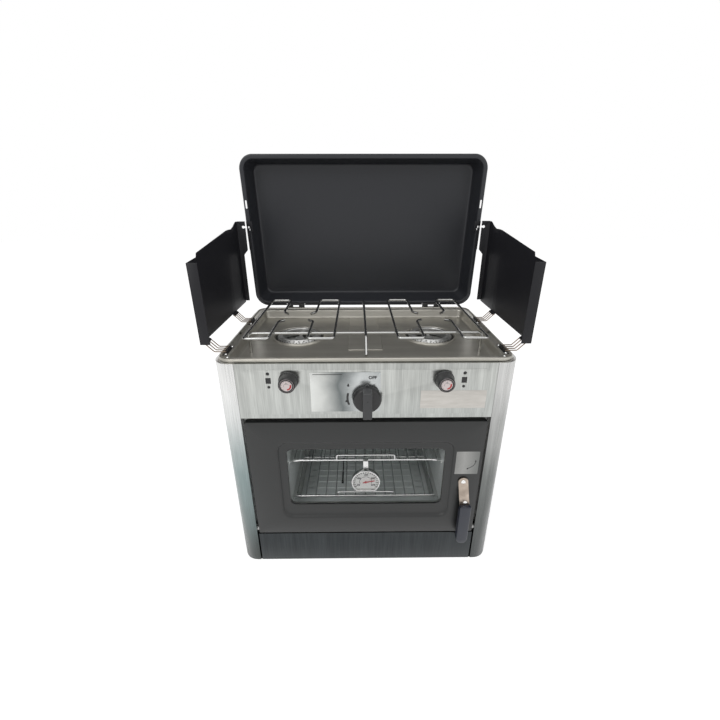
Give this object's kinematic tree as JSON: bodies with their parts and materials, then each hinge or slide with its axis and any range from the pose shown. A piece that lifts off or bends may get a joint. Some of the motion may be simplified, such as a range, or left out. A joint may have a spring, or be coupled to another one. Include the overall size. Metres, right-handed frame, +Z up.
{
  "type": "folding camp oven",
  "caption": "Portable gas oven with a drop-down glazed door, a hob under a tray-shaped lid, and wind shields that fold flat over the pot supports.",
  "frame": {"origin": "on the floor under the middle of the casing", "axes": "+Z up, +Y to the back, +X to the right as seen from the front"},
  "size_m": [0.56, 0.4027, 0.7982],
  "materials": {
    "steel_shell": "satin silver sheet steel",
    "steel_inner": "plain sheet steel",
    "oven_steel": "dull aluminised sheet",
    "burner_steel": "dull steel",
    "burner_alloy": "cast, satin",
    "brass": "satin",
    "chrome_wire": "bright plated",
    "hinge_steel": "black, semi-gloss",
    "bronze_wire": "yellow-passivated, satin",
    "black_enamel": "black enamel, semi-gloss",
    "foil": "satin foil",
    "black_plastic": "black, satin",
    "knob_grey": "dark grey, satin",
    "grip_plastic": "dark navy, satin",
    "foot_rubber": "matte",
    "seal_rubber": "matte",
    "white_dial": "printed dial",
    "red_needle": "red paint",
    "ceramic": "glazed",
    "window_glass": "tinted oven glass",
    "clear_glass": "clear"
  },
  "bodies": {
    "casing": {"side_panel_left": "steel_shell", "side_panel_right": "steel_shell", "fascia": "steel_shell", "kick_panel": "steel_shell", "rear_panel": "steel_shell", "base_pan": "steel_inner", "feet": "foot_rubber", "face_frame": "steel_inner", "oven_liner": "oven_steel", "rack_runners": "chrome_wire", "flame_spreader": "oven_steel", "oven_burner": "burner_steel", "gas_rail": "brass", "burner_valves": "brass", "gas_inlet": "brass", "hob_pan": "steel_shell", "burner_bowls": "burner_steel", "burner_rings": "burner_alloy", "mixing_tubes": "burner_steel", "igniters": "ceramic", "pot_supports": "chrome_wire", "cross_bar": "chrome_wire", "centre_rod": "chrome_wire", "rim_rivets": "chrome_wire", "lid_hinges": "hinge_steel", "shield_brackets": "hinge_steel", "latch_keeper": "steel_inner", "door_pins": "steel_inner", "dial_plate": "foil", "fascia_fixings": "black_plastic"},
    "lid_body": {"lid": "black_enamel", "lid_hinge_flaps": "hinge_steel", "lid_catches": "black_enamel"},
    "bail_left": {"link_left": "bronze_wire"},
    "bail_right": {"link_right": "bronze_wire"},
    "screen_left": {"shield_left": "black_enamel"},
    "screen_right": {"shield_right": "black_enamel"},
    "door": {"door_skin": "black_enamel", "door_liner": "steel_inner", "door_glass": "window_glass", "door_gasket": "seal_rubber", "latch_plate": "foil"},
    "latch": {"latch_strap": "bronze_wire", "latch_grip": "grip_plastic", "latch_spindle": "steel_inner", "latch_rivets": "chrome_wire"},
    "upper_rack": {"rack_upper": "chrome_wire", "thermometer_case": "chrome_wire", "thermometer_dial": "white_dial", "thermometer_needle": "red_needle", "thermometer_lens": "clear_glass"},
    "lower_rack": {"rack_lower": "chrome_wire"},
    "valve_left": {"stem_left": "brass"},
    "handle_left": {"knob_left": "black_plastic", "dial_left": "white_dial"},
    "valve_right": {"stem_right": "brass"},
    "handle_right": {"knob_right": "black_plastic", "dial_right": "white_dial"},
    "valve_oven": {"stem_oven": "brass"},
    "handle_oven": {"knob_oven": "knob_grey"}
  },
  "joints": [
    {"name": "lid_hinge", "type": "hinge", "parent": "casing", "child": "lid_body", "pos_m": [0, 0.1657, 0.474], "axis": [1, 0, 0], "range_deg": [0, 85.56]},
    {"name": "bail_left_turn", "type": "hinge", "parent": "casing", "child": "bail_left", "pos_m": [-0.243, -0.02, 0.4701], "axis": [0, 1, 0], "range_deg": [0, 110]},
    {"name": "bail_right_turn", "type": "hinge", "parent": "casing", "child": "bail_right", "pos_m": [0.243, -0.02, 0.4701], "axis": [0, -1, 0], "range_deg": [0, 110]},
    {"name": "shield_left_turn", "type": "hinge", "parent": "bail_left", "child": "screen_left", "pos_m": [-0.2764, -0.02, 0.4844], "axis": [0, 1, 0], "range_deg": [-22, 0]},
    {"name": "shield_right_turn", "type": "hinge", "parent": "bail_right", "child": "screen_right", "pos_m": [0.2764, -0.02, 0.4844], "axis": [0, -1, 0], "range_deg": [-22, 0]},
    {"name": "door_hinge", "type": "hinge", "parent": "casing", "child": "door", "pos_m": [0, -0.155, 0.0875], "axis": [1, 0, 0], "range_deg": [0, 90]},
    {"name": "latch_turn", "type": "hinge", "parent": "door", "child": "latch", "pos_m": [0.187, -0.165, 0.212], "axis": [0, -1, 0], "range_deg": [0, 90]},
    {"name": "rack_upper_slide", "type": "slide", "parent": "casing", "child": "upper_rack", "axis": [0, -1, 0], "range_m": [0, 0.1259]},
    {"name": "rack_lower_slide", "type": "slide", "parent": "casing", "child": "lower_rack", "axis": [0, -1, 0], "range_m": [0, 0.1023]},
    {"name": "knob_left_turn", "type": "hinge", "parent": "casing", "child": "valve_left", "pos_m": [-0.1315, -0.16, 0.4325], "axis": [0, -1, 0], "range_deg": [0, 270]},
    {"name": "knob_left_push", "type": "slide", "parent": "valve_left", "child": "handle_left", "axis": [0, 1, 0], "range_m": [0, 0.003], "stiffness_N_per_m": 400},
    {"name": "knob_right_turn", "type": "hinge", "parent": "casing", "child": "valve_right", "pos_m": [0.1315, -0.16, 0.4325], "axis": [0, -1, 0], "range_deg": [0, 270]},
    {"name": "knob_right_push", "type": "slide", "parent": "valve_right", "child": "handle_right", "axis": [0, 1, 0], "range_m": [0, 0.003], "stiffness_N_per_m": 400},
    {"name": "knob_oven_turn", "type": "hinge", "parent": "casing", "child": "valve_oven", "pos_m": [0.0013, -0.16, 0.3965], "axis": [0, -1, 0], "range_deg": [0, 270]},
    {"name": "knob_oven_push", "type": "slide", "parent": "valve_oven", "child": "handle_oven", "axis": [0, 1, 0], "range_m": [0, 0.003], "stiffness_N_per_m": 400}
  ],
  "couplings": [
    {"joint": "shield_left_turn", "follows": "bail_left_turn", "ratio": -0.18182},
    {"joint": "shield_right_turn", "follows": "bail_right_turn", "ratio": -0.18182},
    {"joint": "rack_upper_slide", "follows": "door_hinge", "m_per_rad": 0.08},
    {"joint": "rack_lower_slide", "follows": "door_hinge", "m_per_rad": 0.065},
    {"joint": "latch_turn", "follows": "door_hinge", "ratio": 1}
  ]
}
